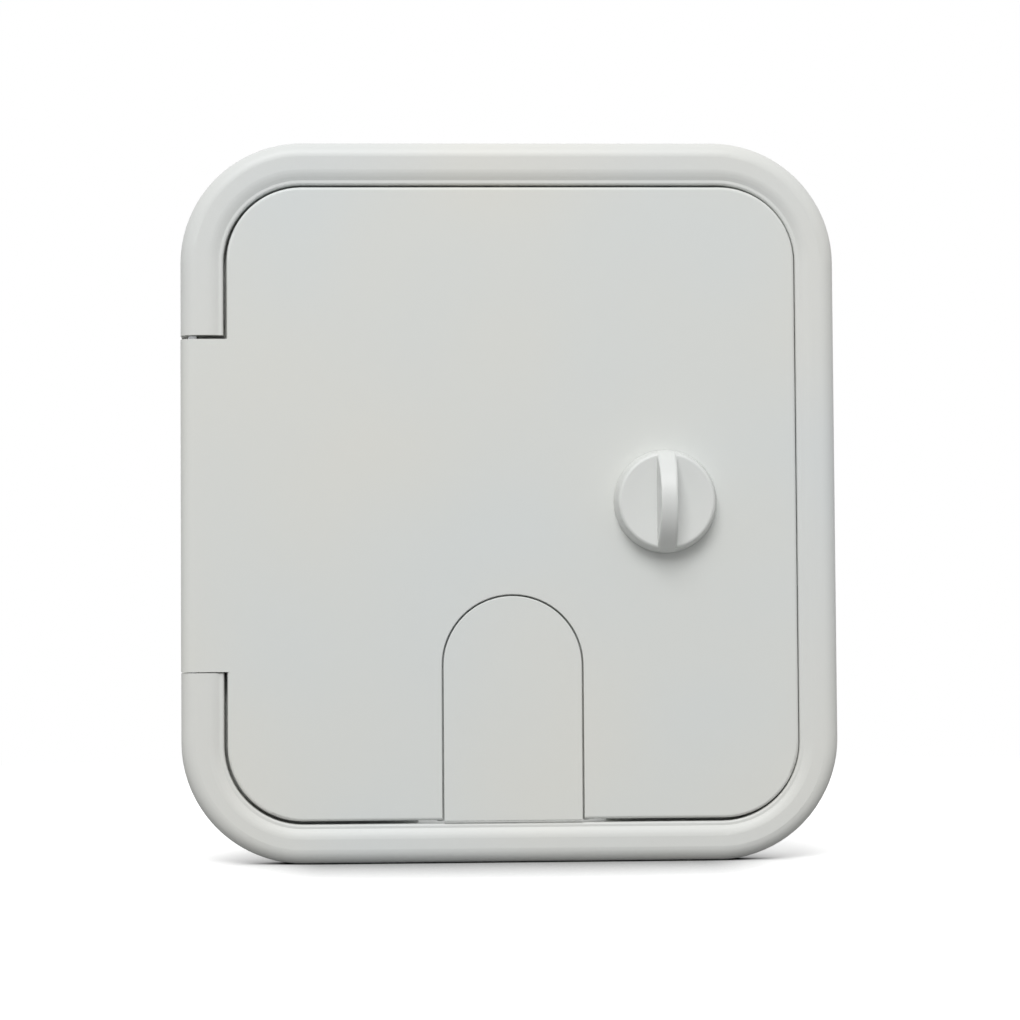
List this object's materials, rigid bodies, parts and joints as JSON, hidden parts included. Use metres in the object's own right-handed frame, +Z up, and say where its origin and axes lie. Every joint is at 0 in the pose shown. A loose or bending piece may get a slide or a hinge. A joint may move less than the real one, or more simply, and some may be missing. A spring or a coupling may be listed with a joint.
{
  "type": "power cord hatch",
  "caption": "Square power cord hatch with round corners for a caravan wall: frame with sleeve, side-hung door with a turn latch, and an arched flap for the cord at the bottom.",
  "frame": {"origin": "centre of the door opening and the sleeve, on the flat back of the flange that lies on the wall", "axes": "+Z up, +X to the right as seen from outside, +Y into the wall"},
  "size_m": [0.1946, 0.0413, 0.2138],
  "materials": {
    "frame_plastic": "satin",
    "door_plastic": "satin",
    "knob_plastic": "satin",
    "seal_foam": "matte",
    "stainless": "brushed"
  },
  "bodies": {
    "frame": {"frame": "frame_plastic", "door_seal": "seal_foam", "hinge_pin_upper": "stainless", "hinge_pin_lower": "stainless"},
    "door": {"door": "door_plastic", "flap_pin": "stainless"},
    "cord_flap": {"cord_flap": "door_plastic"},
    "knob": {"knob": "knob_plastic", "latch_cam": "stainless", "cam_washer": "stainless", "cam_screw": "stainless"}
  },
  "joints": [
    {"name": "door_hinge", "type": "hinge", "parent": "frame", "child": "door", "pos_m": [-0.094, -0.0071, 0], "axis": [0, 0, -1], "range_deg": [0, 170]},
    {"name": "flap_hinge", "type": "hinge", "parent": "door", "child": "cord_flap", "pos_m": [0, -0.0047, -0.02355], "axis": [1, 0, 0], "range_deg": [0, 90]},
    {"name": "knob_turn", "type": "hinge", "parent": "door", "child": "knob", "pos_m": [0.0456, 0, 0], "axis": [0, 1, 0], "range_deg": [0, 90]}
  ]
}
